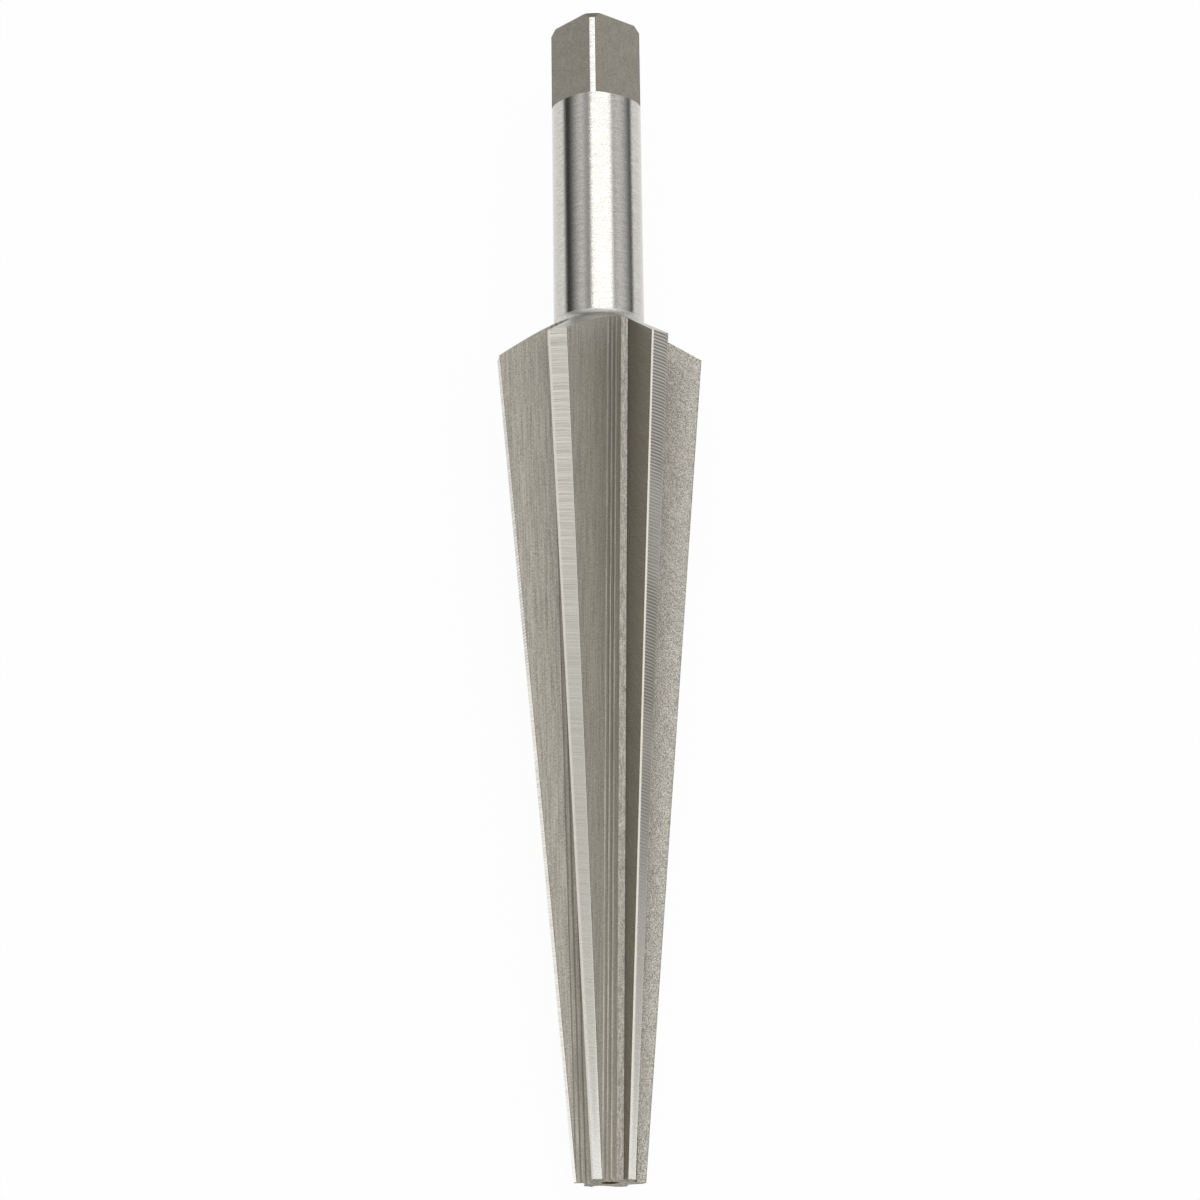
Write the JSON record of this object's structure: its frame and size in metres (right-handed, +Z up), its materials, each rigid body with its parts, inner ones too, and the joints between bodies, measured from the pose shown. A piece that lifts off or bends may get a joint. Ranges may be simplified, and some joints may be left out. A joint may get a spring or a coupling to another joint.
{
  "type": "taper reamer",
  "caption": "Straight-fluted right-hand taper reamer made from one bar, with relieved tapered teeth, a conical back shoulder, a round shank and a drive square with centre holes.",
  "frame": {"origin": "middle of the footprint of the tool as it lies at rest, on the surface that it lies on", "axes": "+Z up; +Y along the length from the small cutting end to the drive square, on the surface, with the tool's own axis rising 4.3 degrees towards +Y because the taper lies on two of its teeth; +X to the right of someone who looks along +Y"},
  "size_m": [0.0284, 0.1654, 0.0259],
  "materials": {
    "tool_steel": "hardened tool steel: shank and lands ground bright, rake faces ground, flutes and square milled and matt"
  },
  "bodies": {
    "root": {"taper_reamer": "tool_steel"}
  },
  "joints": []
}
